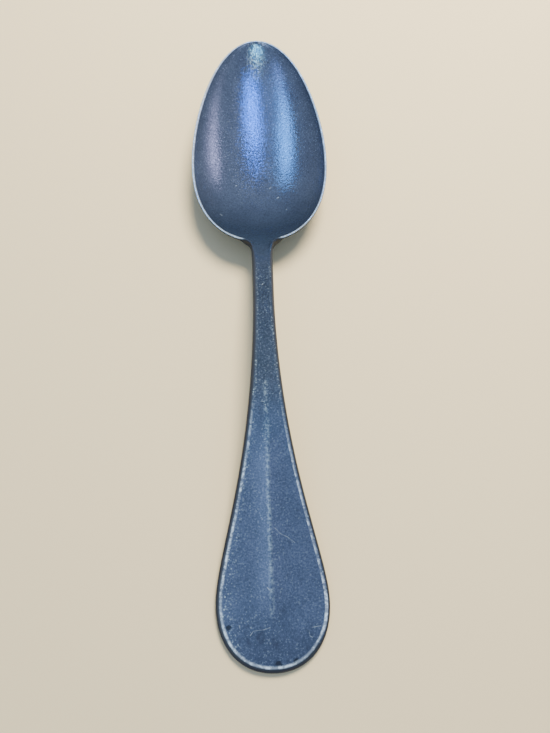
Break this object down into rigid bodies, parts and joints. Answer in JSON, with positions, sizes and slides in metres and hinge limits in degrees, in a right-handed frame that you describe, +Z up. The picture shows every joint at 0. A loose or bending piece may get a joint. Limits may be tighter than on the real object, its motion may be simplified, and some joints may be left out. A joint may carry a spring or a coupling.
{
  "type": "tablespoon",
  "caption": "Tablespoon with an egg-shaped dished bowl, a slender arched stem and a broad round-ended handle with a raised mid-rib.",
  "frame": {"origin": "on the table, under the middle of the spoon's length and width", "axes": "+X across the spoon, +Y along it from the handle's end to the bowl's tip, +Z up out of the bowl"},
  "size_m": [0.0444, 0.2, 0.0141],
  "materials": {
    "spoon_metal": "dark blue-grey patinated metal, dulled and finely speckled by use, bright where edges are worn"
  },
  "bodies": {
    "root": {"bowl": "spoon_metal", "stem": "spoon_metal", "handle": "spoon_metal"}
  },
  "joints": []
}
